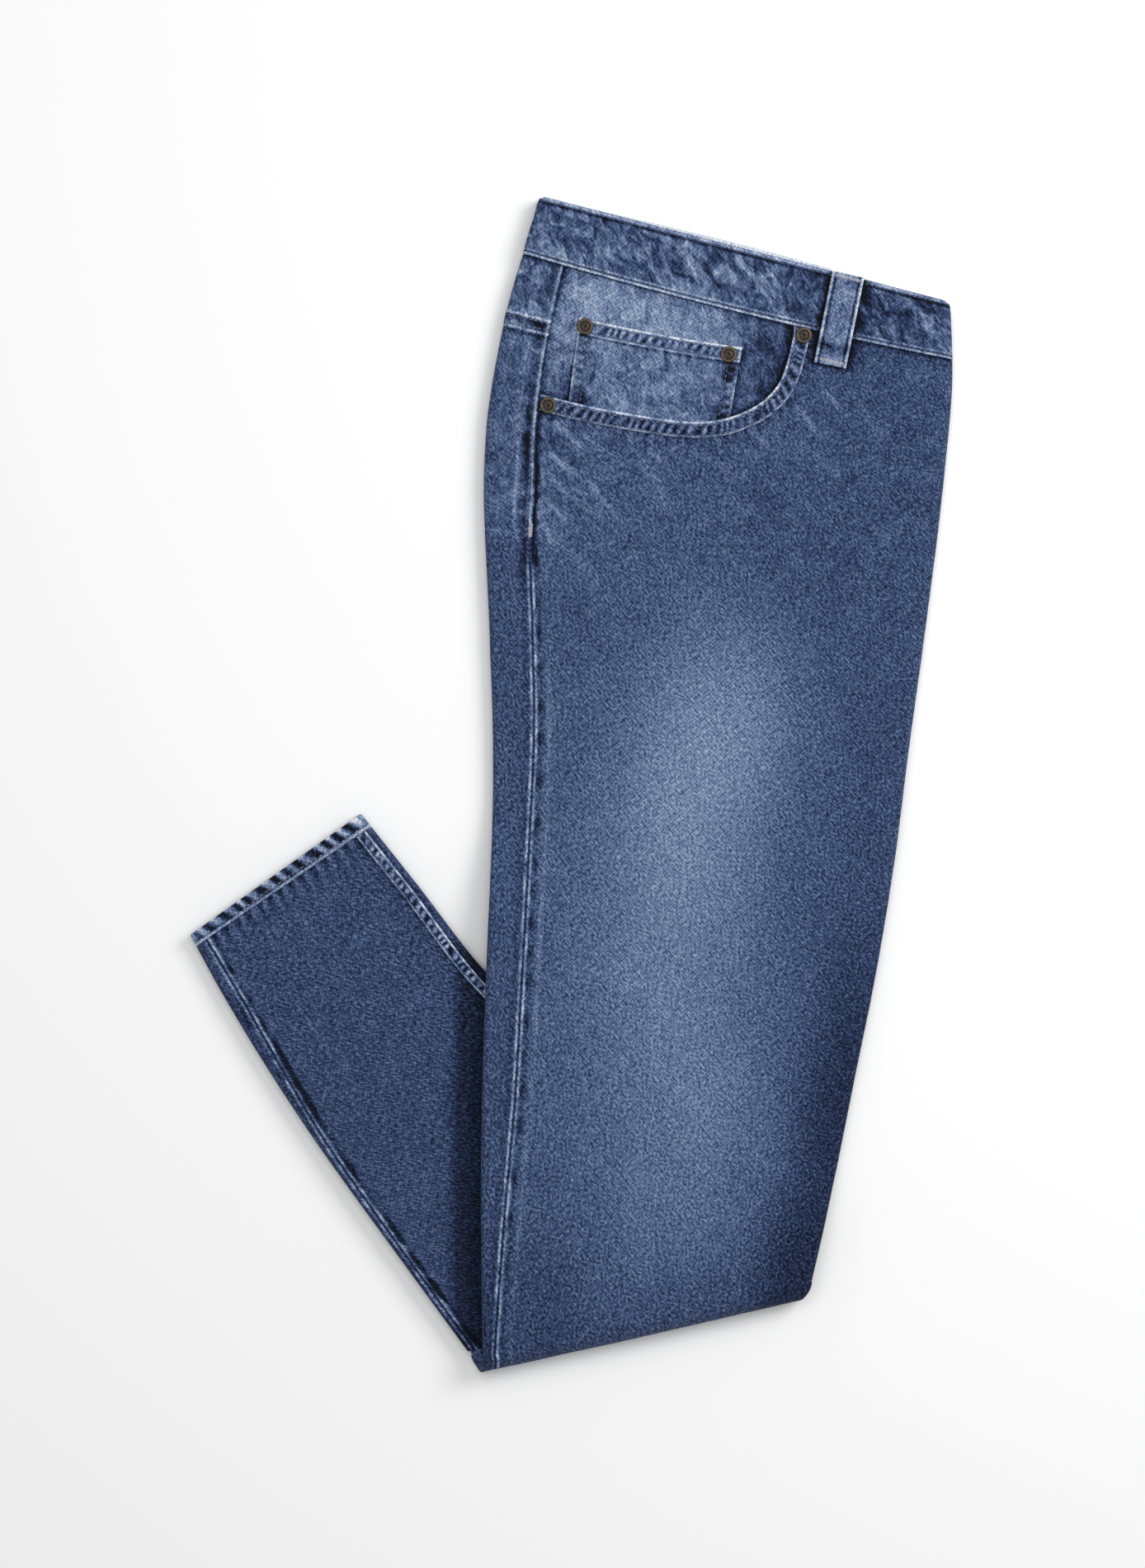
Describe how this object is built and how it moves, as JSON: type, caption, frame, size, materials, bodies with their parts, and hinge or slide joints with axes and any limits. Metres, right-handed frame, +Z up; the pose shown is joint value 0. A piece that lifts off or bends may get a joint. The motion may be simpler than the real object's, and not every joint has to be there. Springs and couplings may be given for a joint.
{
  "type": "folded slim jeans",
  "caption": "Slim five-pocket jeans folded in half lengthwise and under at the shins, laid flat with the right leg's front on top.",
  "frame": {"origin": "on the surface it lies on, under the middle of the folded jeans' outline", "axes": "+Y from the folded shins towards the waistband, +X towards the wearer's centre front, +Z up out of the cloth"},
  "size_m": [0.4628, 0.7115, 0.0221],
  "materials": {
    "denim": "mid-blue washed cotton twill, faded on the thigh and worn pale along seams and edges",
    "rivet_brass": "antique brass, dull, darker in the ring round the burr",
    "thread": "pale greyish-pink sewing thread"
  },
  "bodies": {
    "root": {"folded_inner_layers": "denim", "waistband": "denim", "right_front_panel": "denim", "right_back_panel": "denim", "right_back_yoke": "denim", "pocket_facing": "denim", "coin_pocket": "denim", "pocket_opening_hem": "denim", "belt_loop": "denim", "rivet_coin_pocket_left": "rivet_brass", "rivet_coin_pocket_right": "rivet_brass", "rivet_pocket_side": "rivet_brass", "rivet_pocket_front": "rivet_brass", "left_front_panel": "denim", "left_back_panel_outseam": "denim", "left_back_panel_inseam": "denim", "inseam_fell": "denim", "left_hem": "denim", "right_hem": "denim"}
  },
  "joints": []
}
